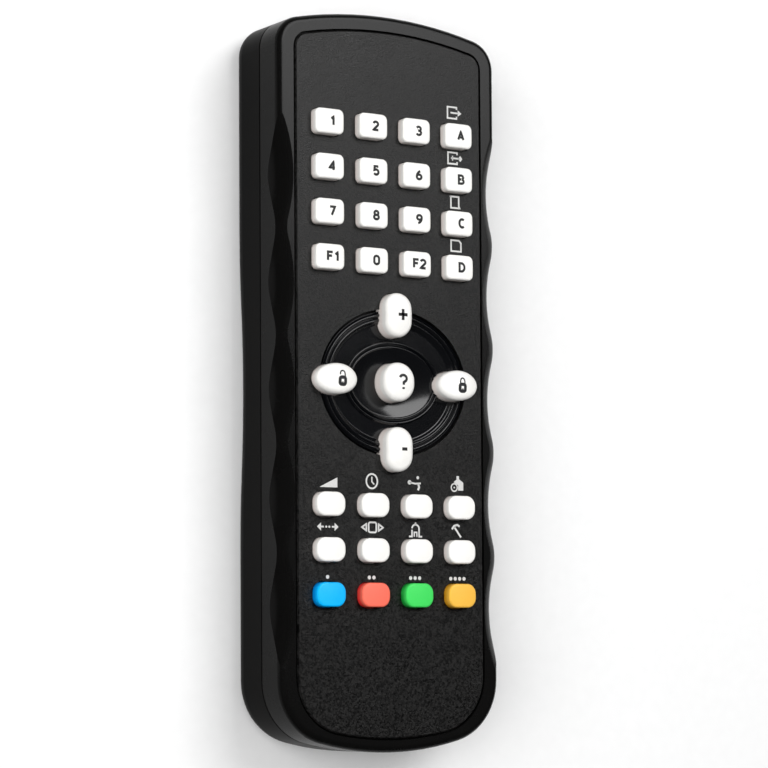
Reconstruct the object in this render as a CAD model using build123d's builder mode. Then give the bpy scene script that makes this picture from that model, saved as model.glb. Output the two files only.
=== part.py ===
"""A hand controller: a battery-powered infrared keypad held in one hand.

Row frame: millimetres, +Z out of the keypad face, +Y towards the end that the
infrared beam leaves by, +X to the right of someone reading the keys. The
origin is the centre of the controller's length and width, on the surface
that its back rests on.
"""

import os
from math import asin, atan2, cos, degrees, hypot, radians, sin, sqrt

from build123d import *

# ---------------------------------------------------------------- case
LENGTH = 165.0
TOP_HALF_WIDTH = 29.1  # at the beam end
TAIL_HALF_WIDTH = 28.7  # at the tail: the sides close in very slightly
RIM_Z = 20.8  # top of the rim round the face
PARTING_Z = 12.8  # where the two shells meet
TOP_ARC, TAIL_ARC = 106.0, 73.5  # plan radii of the two ends
TOP_CORNER, TAIL_CORNER = 6.8, 14.0
WALL = 2.0
BACK_SKIN = 1.8
BACK_ROUND = 5.0  # rounding between flank and back
RIM_ROUND = 1.5
WAIST_RISE, WAIST_HALF, WAIST_Y = 1.4, 36.0, -2.0  # the back is hollowed for the palm
SEAM = 0.25  # chamfer on each side of the parting line
LIP_HIGH, LIP_IN, LIP_GAP = 1.2, 1.0, 0.08

# finger scallops along both long edges
SCALLOPS, SCALLOP_PITCH, FIRST_SCALLOP_Y = 5, 23.77, 44.3
SCALLOP_DOWN, SCALLOP_IN, SCALLOP_BULGE = 5.1, 3.95, 0.85
SWELL_R, SWELL_RISE = 8.0, 1.7  # plan radius of the swells, and how far they stand out from the hollows
RUN_OUT = 36.0  # degrees that the first and last hollow turn before they leave the flank

# ---------------------------------------------------------------- face
FACE_Z = 21.0  # the plate stands just proud of the rim
PLATE_THICK = 1.4
PLATE_TOP_HALF, PLATE_TAIL_HALF = 24.7, 24.4
PLATE_TOP_Y, PLATE_TAIL_Y = 78.5, -79.4
PLATE_TOP_ARC, PLATE_TAIL_ARC = 103.0, 76.0
PLATE_TOP_CORNER, PLATE_TAIL_CORNER = 3.4, 12.5
PLATE_GAP = 0.4
PLATE_EDGE = 0.3
DECK_THICK = 1.6
SEAT_Z = FACE_Z - PLATE_THICK  # the plate lies on the deck here
DECK_Z = SEAT_Z - DECK_THICK  # underside of the deck

# direction pad, an oval bezel let into the plate
PAD_X, PAD_Y = 0.6, -0.7
PAD_HALF = (19.35, 16.5)
PAD_WALL_IN, PAD_WALL_SLOPE = 0.9, 1.0  # flat ridge, then a slope down to the floor
PAD_FLOOR_Z = 20.25
DISH_HALF, DISH_RIDGE, DISH_RIDGE_HIGH = (11.6, 8.5), 0.5, 0.35
DISH_FLOOR_Z = 20.0
BEZEL_CORNER = 0.25
PAD_REACH_X, PAD_REACH_Y = 16.05, 15.0  # from the pad's middle to its outer keys
FIT = 0.1  # gap round a piece that is let into another

# ---------------------------------------------------------------- keys
COLUMN_PITCH = 11.5
ROWS_X = 0.35  # the rows stand very slightly right of the case's middle
NUMBER_ROWS_Y = (56.5, 46.4, 36.35, 26.25)
FUNCTION_ROWS_Y = (-28.2, -38.15)
COLOUR_ROW_Y = -47.95
KEY_TRAVEL = 1.0
KEY_GAP = 0.25  # between a key and its hole
FLANGE_WIDE, FLANGE_THICK, FLANGE_DROP = 0.9, 0.85, 0.1
PILL_R, PILL_HOLE_R = 1.9, 2.35
NUMBER_KEY = (7.3, 5.6, 1.25)  # width, depth, corner radius
FUNCTION_KEY = (7.25, 5.3, 2.2)
COLOUR_KEY = (7.3, 5.35, 2.2)
TALL_KEY = (6.9, 9.95, 3.4)
WIDE_KEY = (10.45, 6.8, None)  # an ellipse
CENTRE_KEY = (8.15, 8.7, 4.0)
KEY_PROUD, PAD_KEY_PROUD = 2.2, 3.5  # above the face
KEY_EDGE, PAD_KEY_EDGE = 0.5, 1.4
KEY_CROWN_R, PAD_KEY_CROWN_R = 24.0, 13.0

# ---------------------------------------------------------------- inside
PCB_Z, PCB_THICK, PCB_INSET = 13.8, 1.2, 4.2
PCB_TOP = PCB_Z + PCB_THICK
MAT_THICK, MAT_HALF, MAT_TOP_Y, MAT_TAIL_Y, MAT_CORNER = 0.93, 23.0, 61.5, -53.0, 3.0
TOUCH = 0.02  # hair gap between pieces that lie against each other
POST_R = 1.6
POSTS = [(-14, 62), (14, 62), (-21, 12), (21, 12)]  # hold the circuit board up
SCREW_X, SCREW_TOP_Y, SCREW_TAIL_Y = 20.0, 67.5, -67.0
BOSS_R, SHANK_R, HEAD_R, HEAD_HIGH = 3.0, 1.2, 2.3, 1.6
WELL_R, WELL_WALL, WELL_TOP, BOSS_SPLIT_Z = 2.7, 1.0, 6.0, 10.0
SCREW_GAP = 0.05
SCREW_TIP_Z = 16.5
SMALL_ROUND = 0.4  # on metal cans and cells
CROSS_LONG, CROSS_WIDE, CROSS_DEEP = 2.6, 0.7, 1.0

# battery bay, two cells side by side
CELL_R, CELL_LONG, NUB_R, NUB_LONG = 5.15, 44.5, 1.9, 1.2
CELL_X, CELL_Z = 5.5, 7.35
BAY_HALF, BAY_TAIL_Y, BAY_HEAD_Y = 11.4, -72.9, -21.4
BAY_WALL, BAY_CEILING_Z, BAY_TOP_Z = 1.0, 12.75, 13.7
DOOR_HALF, DOOR_TAIL_Y, DOOR_HEAD_Y, DOOR_CORNER = 15.0, -76.1, -17.6, 1.5
DOOR_GAP = 0.15
DOOR_SINK = 0.1  # the door lies a hair inside the back, so that the back's own face takes the weight
DOOR_IN_Z, LEDGE_Z, LEDGE_TOP_Z, LEDGE_WIDE = 1.6, 1.7, 2.9, 1.0
LATCH_TAIL_Y, LATCH_HEAD_Y, LATCH_TOP_Z, LATCH_HALF = -20.1, -17.9, 3.4, 5.0
TAB_X, TAB_WIDE, TAB_REACH, TAB_ARM, TAB_LOW_Z, TAB_TOP_Z = 9.0, 5.0, 1.5, 1.2, 1.95, 2.9
TAB_ROOM, TAB_GAP = 3.5, 0.2  # radius that a tab sweeps about the hinge line
GRIP_LINES, GRIP_START, GRIP_PITCH, GRIP_HALF, GRIP_DEEP = 5, 4.0, 1.6, 6.0, 0.35  # for the thumb
CONTACT_THICK, CONTACT_OUT, CONTACT_LOW_Z, CONTACT_TOP_Z = 0.4, 9.6, 3.4, 12.3
DIMPLE_R, DIMPLE_LONG = 1.5, 0.7
COIL_R, COIL_WIRE_R, COIL_TURNS = 3.0, 0.3, 3
LEG_WIDE, LEG_ROOM = 2.0, 0.3

# infrared end
WINDOW_HALF, WINDOW_LOW_Z, WINDOW_TOP_Z = 12.0, 7.6, 14.4
WINDOW_FLANGE_IN, WINDOW_FLANGE_WIDE, WINDOW_FLANGE_THICK = 2.05, 0.9, 0.8
LED_X, LED_Z, LED_R, LED_TIP_Y, LED_LONG = 5.2, 10.6, 2.45, 78.1, 7.6
LED_COLLAR_R, LED_COLLAR_LONG = 2.9, 1.0
LEAD_WIDE, LEAD_REACH, LEAD_SPACE = 0.5, 2.0, 1.27

# parts under the circuit board
CHIP_X, CHIP_Y, CHIP_WIDE, CHIP_LONG, CHIP_HIGH = 0.0, 30.0, 7.5, 17.9, 2.0
PINS, PIN_PITCH, PIN_WIDE, PIN_REACH = 14, 1.27, 0.42, 1.4
CAN_X, CAN_Y, CAN_LONG, CAN_WIDE, CAN_HIGH = 12.0, 6.0, 10.5, 4.4, 3.4
CAP_X, CAP_Y, CAP_R, CAP_LONG = -13.0, 44.0, 3.1, 8.0

os.makedirs("parts", exist_ok=True)


def save(piece, name):
    """Labels a finished BuildPart and writes it as parts/NAME.step."""
    piece.part.label = name
    export_step(piece.part, f"parts/{name}.step")


# ================================================================ outlines
def plan(top_half, tail_half, top_y, tail_y, top_arc, tail_arc, corners, inset=0.0):
    """A plan outline: straight sides, an arched top and tail, rounded corners."""
    top_side = top_y - top_arc + sqrt(top_arc**2 - top_half**2)
    tail_side = tail_y + tail_arc - sqrt(tail_arc**2 - tail_half**2)
    with BuildSketch(mode=Mode.PRIVATE) as outline:
        with BuildLine():
            ThreePointArc((-top_half, top_side), (0, top_y), (top_half, top_side))
            Line((top_half, top_side), (tail_half, tail_side))
            ThreePointArc((tail_half, tail_side), (0, tail_y), (-tail_half, tail_side))
            Line((-tail_half, tail_side), (-top_half, top_side))
        make_face()
        ends = outline.vertices().group_by(Axis.Y)
        fillet(ends[-1], corners[0])
        tail = outline.vertices().sort_by(Axis.Y)[:2]
        fillet(tail, corners[1])
        if inset:
            offset(amount=-inset)
    return outline.sketch


def case_plan(inset=0.0):
    """The case's outline, or the same line a distance inside it."""
    corners = (TOP_CORNER, TAIL_CORNER)
    ends = (LENGTH / 2, -LENGTH / 2, TOP_ARC, TAIL_ARC)
    return plan(TOP_HALF_WIDTH, TAIL_HALF_WIDTH, *ends, corners, inset)


def plate_plan(inset=0.0):
    """The face plate's outline."""
    corners = (PLATE_TOP_CORNER, PLATE_TAIL_CORNER)
    ends = (PLATE_TOP_Y, PLATE_TAIL_Y, PLATE_TOP_ARC, PLATE_TAIL_ARC)
    return plan(PLATE_TOP_HALF, PLATE_TAIL_HALF, *ends, corners, inset)


def side_profile(lift, top_z):
    """The case seen from its side, its back hollowed by four tangent arcs, lifted by lift."""
    quarter = WAIST_HALF / 2
    bend = (quarter**2 + (WAIST_RISE / 2) ** 2) / WAIST_RISE  # radius of each arc
    far = LENGTH
    with BuildSketch(Plane.YZ, mode=Mode.PRIVATE) as profile:
        with BuildLine():
            for side in (-1, 1):
                foot = (WAIST_Y + side * WAIST_HALF, lift)
                middle = (WAIST_Y + side * quarter, lift + WAIST_RISE / 2)
                crest = (WAIST_Y, lift + WAIST_RISE)
                half = asin(quarter / bend) / 2
                sag = bend * (1 - cos(half))
                reach = bend * sin(half)
                ThreePointArc(foot, (foot[0] - side * reach, lift + sag), middle)
                ThreePointArc(middle, (WAIST_Y + side * reach, crest[1] - sag), crest)
                Line(foot, (side * far, lift))
                Line((side * far, lift), (side * far, top_z))
            Line((-far, top_z), (far, top_z))
        make_face()
    return profile.sketch


def key_plan(size, spare=0.0):
    """A key's outline, centred, grown by spare on every side."""
    width, depth, corner = size
    with BuildSketch(mode=Mode.PRIVATE) as outline:
        if corner is None:
            Ellipse(width / 2 + spare, depth / 2 + spare)
        else:
            RectangleRounded(width + 2 * spare, depth + 2 * spare, corner + spare)
    return outline.sketch


def oval(half, grow=0.0):
    """An ellipse of the direction pad, centred on the pad."""
    with BuildSketch(mode=Mode.PRIVATE) as outline:
        with Locations((PAD_X, PAD_Y)):
            Ellipse(half[0] + grow, half[1] + grow)
    return outline.sketch


# ================================================================ key table
COLUMNS = [ROWS_X + COLUMN_PITCH * (i - 1.5) for i in range(4)]
KEYS = []  # (name, x, y, size, proud, edge, crown radius)


def add_row(names, y, size):
    """Four keys of one row, in the four columns."""
    for name, x in zip(names, COLUMNS):
        KEYS.append((name, x, y, size, KEY_PROUD, KEY_EDGE, KEY_CROWN_R))


for names, y in zip(("1 2 3 a", "4 5 6 b", "7 8 9 c", "f1 0 f2 d"), NUMBER_ROWS_Y):
    add_row(names.split(), y, NUMBER_KEY)
for names, y in zip(("ramp clock hinge motor", "width field bell hook"), FUNCTION_ROWS_Y):
    add_row(names.split(), y, FUNCTION_KEY)
add_row("blue red green yellow".split(), COLOUR_ROW_Y, COLOUR_KEY)
for name, dx, dy, size in (
    ("plus", 0, PAD_REACH_Y, TALL_KEY),
    ("minus", 0, -PAD_REACH_Y, TALL_KEY),
    ("unlock", -PAD_REACH_X, 0, WIDE_KEY),
    ("lock", PAD_REACH_X, 0, WIDE_KEY),
    ("query", 0, 0, CENTRE_KEY),
):
    KEYS.append((name, PAD_X + dx, PAD_Y + dy, size, PAD_KEY_PROUD, PAD_KEY_EDGE, PAD_KEY_CROWN_R))

BOSSES = [(x, y) for x in (-SCREW_X, SCREW_X) for y in (SCREW_TAIL_Y, SCREW_TOP_Y)]


def underside_edges(block):
    """The edges where a block's flanks meet its underside."""
    lowest = block.part.bounding_box().min.Z
    low = [e for e in block.edges() if e.center().Z < lowest + WAIST_RISE + 0.1]
    return [e for e in low if abs(e.center().X) > 1 or abs(e.center().Y) > LENGTH / 2 - TAIL_CORNER]


# ================================================================ case as one solid
chord = hypot(SCALLOP_DOWN, SCALLOP_IN)
BULGE_OUT = SCALLOP_IN / 2 + SCALLOP_BULGE * SCALLOP_DOWN / chord
BULGE_UP = -SCALLOP_DOWN / 2 + SCALLOP_BULGE * SCALLOP_IN / chord
RIM_X = (TOP_HALF_WIDTH + TAIL_HALF_WIDTH) / 2 - SCALLOP_IN + FIT  # the edge of the rim in a hollow
LEAN = degrees(atan2(TOP_HALF_WIDTH - TAIL_HALF_WIDTH, LENGTH))
SWING = degrees(2 * atan2(SWELL_RISE, SCALLOP_PITCH / 2))  # each arc's turn from its middle to its end
# the plan radius that makes the hollows run into the swells without a corner
HOLLOW_R = (SWELL_RISE**2 + (SCALLOP_PITCH / 2) ** 2) / (2 * SWELL_RISE) - SWELL_R
CUTTER_OUT, CUTTER_UP = 9.0, 1.0


def scallop_cutter(axis_x, y, radius, outward, start, turn):
    """
    What one hollow or swell takes off the right flank: the scallop's section turned about an
    upright axis at (axis_x, y). outward is +1 where radius grows away from the case, so that the
    arc swells, and -1 where it hollows. start and turn are in degrees.
    """
    direction = (cos(radians(start)), sin(radians(start)), 0)
    across = Vector(*direction).cross(Vector(0, 0, 1))
    with BuildPart(mode=Mode.PRIVATE) as cutter:
        with BuildSketch(Plane((axis_x, y, RIM_Z), x_dir=direction, z_dir=across)):
            with BuildLine():
                rim_edge = (radius, 0)
                foot = (radius + outward * SCALLOP_IN, -SCALLOP_DOWN)
                ThreePointArc(rim_edge, (radius + outward * BULGE_OUT, BULGE_UP), foot)
                Polyline(
                    foot,
                    (radius + outward * CUTTER_OUT, -SCALLOP_DOWN),
                    (radius + outward * CUTTER_OUT, CUTTER_UP),
                    (radius, CUTTER_UP),
                    rim_edge,
                )
            make_face()
        revolve(axis=Axis((axis_x, y, 0), (0, 0, 1)), revolution_arc=turn)
    return cutter.part


with BuildPart() as case_block:
    with BuildSketch():
        add(case_plan())
    extrude(amount=RIM_Z)
    extrude(side_profile(0, RIM_Z + 1), amount=2 * TOP_HALF_WIDTH, both=True, mode=Mode.INTERSECT)
    fillet(underside_edges(case_block), BACK_ROUND)
    fillet(case_block.faces().sort_by(Axis.Z)[-1].edges(), RIM_ROUND)
    for i in range(SCALLOPS):
        y = FIRST_SCALLOP_Y - i * SCALLOP_PITCH
        ahead = RUN_OUT if i == 0 else SWING
        behind = RUN_OUT if i == SCALLOPS - 1 else SWING
        cutters = [scallop_cutter(RIM_X + HOLLOW_R, y, HOLLOW_R, -1, 180 - ahead, ahead + behind)]
        if i < SCALLOPS - 1:
            swell_x = RIM_X + SWELL_RISE - SWELL_R
            cutters.append(scallop_cutter(swell_x, y - SCALLOP_PITCH / 2, SWELL_R, 1, -SWING, 2 * SWING))
        for cutter in cutters:
            leaning = cutter.rotate(Axis.Z, -LEAN)
            add(leaning, mode=Mode.SUBTRACT)
            add(leaning.mirror(Plane.YZ), mode=Mode.SUBTRACT)

# the room inside the case, from the back's skin up to the deck
with BuildPart() as hollow:
    with BuildSketch():
        add(case_plan(WALL))
    extrude(amount=DECK_Z)
    extrude(side_profile(BACK_SKIN, RIM_Z), amount=2 * TOP_HALF_WIDTH, both=True, mode=Mode.INTERSECT)
    fillet(underside_edges(hollow), BACK_ROUND - WALL)


# ================================================================ top shell
def key_holes(height):
    """The holes that the keys stand in, drawn at a height."""
    with BuildSketch(Plane.XY.offset(height), mode=Mode.PRIVATE) as holes:
        for name, x, y, size, *shape in KEYS:
            with Locations((x, y)):
                add(key_plan(size, KEY_GAP))
    return holes.sketch


def window_block(grow):
    """The opening for the beam window, as a box standing through the end wall."""
    with BuildSketch(Plane.XZ, mode=Mode.PRIVATE) as front:
        with Locations((0, (WINDOW_LOW_Z + WINDOW_TOP_Z) / 2)):
            Rectangle(2 * (WINDOW_HALF + grow), WINDOW_TOP_Z - WINDOW_LOW_Z + 2 * grow)
    return front.sketch


with BuildPart() as top_shell:
    add(case_block.part)
    split(bisect_by=Plane.XY.offset(PARTING_Z), keep=Keep.TOP)
    chamfer(top_shell.faces().sort_by(Axis.Z)[0].outer_wire().edges(), SEAM)
    add(hollow.part, mode=Mode.SUBTRACT)
    with BuildSketch(Plane.XY.offset(PARTING_Z)):
        add(case_plan(WALL - LIP_IN))
    extrude(amount=LIP_HIGH + LIP_GAP, mode=Mode.SUBTRACT)
    with BuildSketch(Plane.XY.offset(SEAT_Z)):
        add(plate_plan(-PLATE_GAP))
    extrude(amount=PLATE_THICK, mode=Mode.SUBTRACT)
    extrude(key_holes(DECK_Z), amount=PLATE_THICK + DECK_THICK, mode=Mode.SUBTRACT)
    with BuildSketch(Plane.XY.offset(BOSS_SPLIT_Z + SCREW_GAP)):
        with Locations(*BOSSES):
            Circle(BOSS_R)
    extrude(amount=DECK_Z - BOSS_SPLIT_Z - SCREW_GAP)
    with BuildSketch(Plane.XY.offset(BOSS_SPLIT_Z)):
        with Locations(*BOSSES):
            Circle(SHANK_R + SCREW_GAP)
    extrude(amount=SCREW_TIP_Z + SCREW_GAP - BOSS_SPLIT_Z, mode=Mode.SUBTRACT)
    extrude(window_block(FIT), amount=-LENGTH, mode=Mode.SUBTRACT)

save(top_shell, "top_shell")


# ================================================================ battery bay and back shell
def door_outline(grow=0.0):
    """The battery door's outline in plan."""
    middle = (DOOR_TAIL_Y + DOOR_HEAD_Y) / 2
    with BuildSketch(mode=Mode.PRIVATE) as outline:
        with Locations((0, middle)):
            long_side = DOOR_HEAD_Y - DOOR_TAIL_Y + 2 * grow
            RectangleRounded(2 * (DOOR_HALF + grow), long_side, DOOR_CORNER + grow)
    return outline.sketch


def box_between(low, high, mode=Mode.ADD):
    """A box in the part being built, given two opposite corners."""
    size = [b - a for a, b in zip(low, high)]
    middle = [(a + b) / 2 for a, b in zip(low, high)]
    with Locations(tuple(middle)):
        Box(*size, mode=mode)


with BuildPart() as door_pocket:
    extrude(door_outline(DOOR_GAP), amount=LEDGE_TOP_Z)
    extrude(side_profile(LEDGE_Z, RIM_Z), amount=LENGTH, both=True, mode=Mode.SUBTRACT)

with BuildPart() as ledge:
    extrude(door_outline(LEDGE_WIDE), amount=LEDGE_TOP_Z + WAIST_RISE)
    extrude(side_profile(LEDGE_Z, RIM_Z), amount=LENGTH, both=True, mode=Mode.INTERSECT)

with BuildPart() as tab_room:
    for x in (-TAB_X, TAB_X):
        with Locations((x, DOOR_TAIL_Y, 0)):
            Cylinder(TAB_ROOM, TAB_WIDE + 2 * TAB_GAP, rotation=(0, 90, 0))
    floor_z = TAB_LOW_Z - FIT
    reach = 2 * TAB_ROOM
    tail_low = (-DOOR_HALF, DOOR_TAIL_Y - reach, -reach)
    box_between(tail_low, (DOOR_HALF, DOOR_TAIL_Y - DOOR_GAP, floor_z), Mode.SUBTRACT)
    box_between(tail_low, (DOOR_HALF, DOOR_TAIL_Y + reach, 0), Mode.SUBTRACT)

with BuildPart() as back_shell:
    add(case_block.part)
    split(bisect_by=Plane.XY.offset(PARTING_Z), keep=Keep.BOTTOM)
    chamfer(back_shell.faces().sort_by(Axis.Z)[-1].edges(), SEAM)
    add(hollow.part, mode=Mode.SUBTRACT)
    with BuildSketch(Plane.XY.offset(PARTING_Z - LIP_IN)):
        add(case_plan(WALL - LIP_IN + LIP_GAP))
        add(case_plan(WALL), mode=Mode.SUBTRACT)
    extrude(amount=LIP_IN + LIP_HIGH)
    add(ledge.part)
    wall = BAY_WALL
    box_between(
        (-BAY_HALF - wall, BAY_TAIL_Y - wall, BACK_SKIN),
        (BAY_HALF + wall, BAY_HEAD_Y + wall, BAY_TOP_Z),
    )
    with BuildSketch():
        with Locations(*BOSSES):
            Circle(WELL_R + WELL_WALL)
    extrude(amount=BOSS_SPLIT_Z)
    with BuildSketch(Plane.XY.offset(BACK_SKIN)):
        with Locations(*POSTS):
            Circle(POST_R)
    extrude(amount=PCB_Z - TOUCH - BACK_SKIN)
    box_between((-BAY_HALF, BAY_TAIL_Y, 0), (BAY_HALF, BAY_HEAD_Y, BAY_CEILING_Z), Mode.SUBTRACT)
    add(door_pocket.part, mode=Mode.SUBTRACT)
    add(tab_room.part, mode=Mode.SUBTRACT)
    latch_room = LATCH_HALF + DOOR_GAP
    latch_high = (latch_room, DOOR_HEAD_Y + DOOR_GAP, LEDGE_TOP_Z + WAIST_RISE)
    box_between((-latch_room, BAY_HEAD_Y + wall, 0), latch_high, Mode.SUBTRACT)
    with BuildSketch():
        with Locations(*BOSSES):
            Circle(WELL_R)
    extrude(amount=WELL_TOP, mode=Mode.SUBTRACT)
    with BuildSketch():
        with Locations(*BOSSES):
            Circle(SHANK_R + SCREW_GAP)
    extrude(amount=BOSS_SPLIT_Z, mode=Mode.SUBTRACT)
    for x in (-CELL_X, CELL_X):
        leg_y = BAY_HEAD_Y - CONTACT_THICK / 2
        box_between(
            (x - LEG_WIDE / 2 - LEG_ROOM, leg_y - CONTACT_THICK, BAY_CEILING_Z),
            (x + LEG_WIDE / 2 + LEG_ROOM, leg_y + CONTACT_THICK, BAY_TOP_Z),
            Mode.SUBTRACT,
        )
    extrude(window_block(FIT), amount=-LENGTH, mode=Mode.SUBTRACT)

save(back_shell, "back_shell")

with BuildPart() as battery_door:
    extrude(door_outline(), amount=LEDGE_TOP_Z)
    with Locations((0, 0, DOOR_SINK)):
        add(case_block.part, mode=Mode.INTERSECT)
    extrude(side_profile(DOOR_IN_Z, RIM_Z), amount=LENGTH, both=True, mode=Mode.SUBTRACT)
    for x in (-TAB_X, TAB_X):
        left, right = x - TAB_WIDE / 2, x + TAB_WIDE / 2
        box_between((left, DOOR_TAIL_Y, DOOR_IN_Z - TOUCH), (right, DOOR_TAIL_Y + TAB_ARM, TAB_TOP_Z))
        box_between((left, DOOR_TAIL_Y - TAB_REACH, TAB_LOW_Z), (right, DOOR_TAIL_Y + TAB_ARM, TAB_TOP_Z))
    box_between((-LATCH_HALF, LATCH_TAIL_Y, DOOR_IN_Z), (LATCH_HALF, LATCH_HEAD_Y, LATCH_TOP_Z))
    for i in range(GRIP_LINES):
        line_y = DOOR_HEAD_Y - GRIP_START - i * GRIP_PITCH
        line_high = (GRIP_HALF, line_y + GRIP_PITCH / 2, WAIST_RISE / 2 + GRIP_DEEP)
        box_between((-GRIP_HALF, line_y, 0), line_high, Mode.SUBTRACT)

save(battery_door, "battery_door")


# ================================================================ face plate and pad bezel
def bezel_plan(grow=0.0):
    """The pad bezel's oval, at the height of the deck."""
    with BuildSketch(Plane.XY.offset(SEAT_Z), mode=Mode.PRIVATE) as outline:
        add(oval(PAD_HALF, grow))
    return outline.sketch


with BuildPart() as face_plate:
    with BuildSketch(Plane.XY.offset(SEAT_Z)):
        add(plate_plan())
    extrude(amount=PLATE_THICK)
    chamfer(face_plate.faces().sort_by(Axis.Z)[-1].edges(), PLATE_EDGE)
    extrude(bezel_plan(FIT), amount=PLATE_THICK, mode=Mode.SUBTRACT)
    extrude(key_holes(SEAT_Z), amount=PLATE_THICK, mode=Mode.SUBTRACT)

save(face_plate, "face_plate")

with BuildPart() as pad_bezel:
    extrude(bezel_plan(), amount=PLATE_THICK)
    fillet(pad_bezel.faces().sort_by(Axis.Z)[-1].edges(), BEZEL_CORNER)
    # the oval floor, with a sloping wall round it
    with BuildSketch(Plane.XY.offset(FACE_Z)):
        add(oval(PAD_HALF, -PAD_WALL_IN))
    with BuildSketch(Plane.XY.offset(PAD_FLOOR_Z)):
        add(oval(PAD_HALF, -PAD_WALL_IN - PAD_WALL_SLOPE))
    loft(mode=Mode.SUBTRACT)
    # a ridge round the dish, and the dish inside it
    with BuildSketch(Plane.XY.offset(PAD_FLOOR_Z)):
        add(oval(DISH_HALF, DISH_RIDGE))
    with BuildSketch(Plane.XY.offset(PAD_FLOOR_Z + DISH_RIDGE_HIGH)):
        add(oval(DISH_HALF))
    loft()
    with BuildSketch(Plane.XY.offset(PAD_FLOOR_Z + DISH_RIDGE_HIGH)):
        add(oval(DISH_HALF, -DISH_RIDGE))
    with BuildSketch(Plane.XY.offset(DISH_FLOOR_Z)):
        add(oval((CENTRE_KEY[0] / 2, CENTRE_KEY[1] / 2)))
    loft(mode=Mode.SUBTRACT)
    extrude(key_holes(SEAT_Z), amount=PLATE_THICK, mode=Mode.SUBTRACT)

save(pad_bezel, "pad_bezel")

# ================================================================ keys
FLANGE_TOP_Z = DECK_Z - FLANGE_DROP
PILL_LOW_Z = PCB_TOP + KEY_TRAVEL + TOUCH


def key_blank(size, proud, edge, crown_r):
    """One key standing at the origin: a crowned cap, the flange that keeps it in, a contact pill."""
    top_z = FACE_Z + proud
    with BuildPart(mode=Mode.PRIVATE) as blank:
        extrude(Plane.XY.offset(FLANGE_TOP_Z) * key_plan(size), amount=top_z - FLANGE_TOP_Z)
        with Locations((0, 0, top_z - crown_r)):
            Sphere(crown_r, mode=Mode.INTERSECT)
        fillet(blank.faces().sort_by(Axis.Z)[-1].edges(), edge)
        extrude(Plane.XY.offset(FLANGE_TOP_Z) * key_plan(size, FLANGE_WIDE), amount=-FLANGE_THICK)
        with Locations((0, 0, (PILL_LOW_Z + FLANGE_TOP_Z) / 2)):
            Cylinder(PILL_R, FLANGE_TOP_Z - PILL_LOW_Z)
    return blank.part


blanks = {}
for name, x, y, *shape in KEYS:
    shape = tuple(shape)
    if shape not in blanks:
        blanks[shape] = key_blank(*shape)
    with BuildPart() as key:
        with Locations((x, y, 0)):
            add(blanks[shape])
    save(key, f"key_{name}")

# ================================================================ circuit board and keypad mat
with BuildPart() as circuit_board:
    with BuildSketch(Plane.XY.offset(PCB_Z)):
        add(case_plan(PCB_INSET))
        with Locations(*BOSSES):
            Circle(BOSS_R + KEY_GAP, mode=Mode.SUBTRACT)
    extrude(amount=PCB_THICK)

save(circuit_board, "circuit_board")

with BuildPart() as keypad_mat:
    with BuildSketch(Plane.XY.offset(PCB_TOP + TOUCH)):
        with Locations((0, (MAT_TOP_Y + MAT_TAIL_Y) / 2)):
            RectangleRounded(2 * MAT_HALF, MAT_TOP_Y - MAT_TAIL_Y, MAT_CORNER)
        for name, x, y, *shape in KEYS:
            with Locations((x, y)):
                Circle(PILL_HOLE_R, mode=Mode.SUBTRACT)
    extrude(amount=MAT_THICK)

save(keypad_mat, "keypad_mat")

with BuildPart() as controller_chip:
    chip_top = PCB_Z - TOUCH
    with Locations((CHIP_X, CHIP_Y, chip_top - CHIP_HIGH / 2)):
        Box(CHIP_WIDE, CHIP_LONG, CHIP_HIGH - 2 * TOUCH)
    for i in range(PINS):
        pin_y = CHIP_Y + (i - (PINS - 1) / 2) * PIN_PITCH
        for side in (-1, 1):
            with Locations((CHIP_X + side * (CHIP_WIDE + PIN_REACH) / 2, pin_y, chip_top - CHIP_HIGH / 4)):
                Box(PIN_REACH, PIN_WIDE, CHIP_HIGH / 2)

save(controller_chip, "controller_chip")

with BuildPart() as resonator:
    with BuildSketch(Plane.XY.offset(PCB_Z - TOUCH)):
        with Locations((CAN_X, CAN_Y)):
            SlotOverall(CAN_LONG, CAN_WIDE, rotation=90)
    extrude(amount=-CAN_HIGH)
    fillet(resonator.faces().sort_by(Axis.Z)[0].edges(), SMALL_ROUND)

save(resonator, "resonator")

with BuildPart() as capacitor:
    with Locations((CAP_X, CAP_Y, PCB_Z - TOUCH - CAP_R)):
        Cylinder(CAP_R, CAP_LONG, rotation=(90, 0, 0))
    fillet(capacitor.edges().filter_by(GeomType.CIRCLE), SMALL_ROUND)

save(capacitor, "capacitor")

# ================================================================ infrared end
with BuildPart() as ir_leds:
    for side in (-1, 1):
        x = side * LED_X
        body_y = LED_TIP_Y - LED_LONG
        with Locations((x, LED_TIP_Y - LED_R - (LED_LONG - LED_R) / 2, LED_Z)):
            Cylinder(LED_R, LED_LONG - LED_R, rotation=(90, 0, 0))
        with Locations((x, LED_TIP_Y - LED_R, LED_Z)):
            Sphere(LED_R)
        with Locations((x, body_y + LED_COLLAR_LONG / 2, LED_Z)):
            Cylinder(LED_COLLAR_R, LED_COLLAR_LONG, rotation=(90, 0, 0))
        for lead in (-1, 1):
            lead_x = x + lead * LEAD_SPACE
            half = LEAD_WIDE / 2
            back_y = body_y - LEAD_REACH
            lead_low = (lead_x - half, back_y, LED_Z - half)
            box_between(lead_low, (lead_x + half, body_y, LED_Z + half))
            box_between(lead_low, (lead_x + half, back_y + LEAD_WIDE, PCB_Z - TOUCH))

save(ir_leds, "ir_leds")

# the room for the window's flange, just inside the end wall
with BuildPart() as flange_room:
    with BuildSketch(Plane.XY.offset(BACK_SKIN)):
        add(case_plan(WINDOW_FLANGE_IN))
        add(case_plan(WINDOW_FLANGE_IN + WINDOW_FLANGE_THICK), mode=Mode.SUBTRACT)
    extrude(amount=DECK_Z - BACK_SKIN)

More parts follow.
